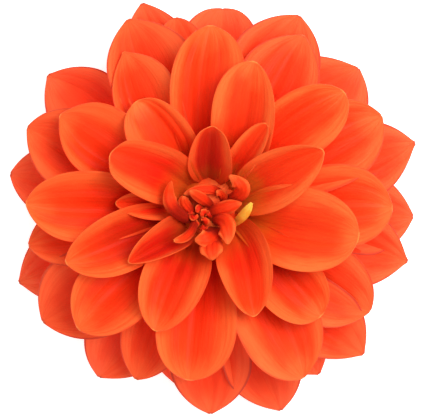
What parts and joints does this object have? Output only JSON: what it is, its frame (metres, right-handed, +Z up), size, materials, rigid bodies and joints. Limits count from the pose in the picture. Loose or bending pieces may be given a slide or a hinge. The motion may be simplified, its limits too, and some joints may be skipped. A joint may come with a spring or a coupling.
{
  "type": "dahlia flower head",
  "caption": "Decorative dahlia flower head with layered, cupped orange-red ray florets, picked with a short stem and resting face up.",
  "frame": {"origin": "on the surface that the head rests on, under the middle of the head's outline", "axes": "+Z up out of the flower's face, +Y towards the top of the picture, +X to its right"},
  "size_m": [0.1242, 0.1261, 0.0471],
  "materials": {
    "ray_florets": "soft satin petal, redder towards the base, lighter orange at the margin",
    "centre_florets": "soft satin petal, deep red in the folds",
    "yellow_floret": "soft satin petal",
    "inner_bracts": "thin, papery, dull",
    "stem_and_bracts": "fleshy green, slightly waxy"
  },
  "bodies": {
    "root": {"ray_florets": "ray_florets", "centre_florets": "centre_florets", "yellow_floret": "yellow_floret", "inner_bracts": "inner_bracts", "stem_and_bracts": "stem_and_bracts"}
  },
  "joints": []
}
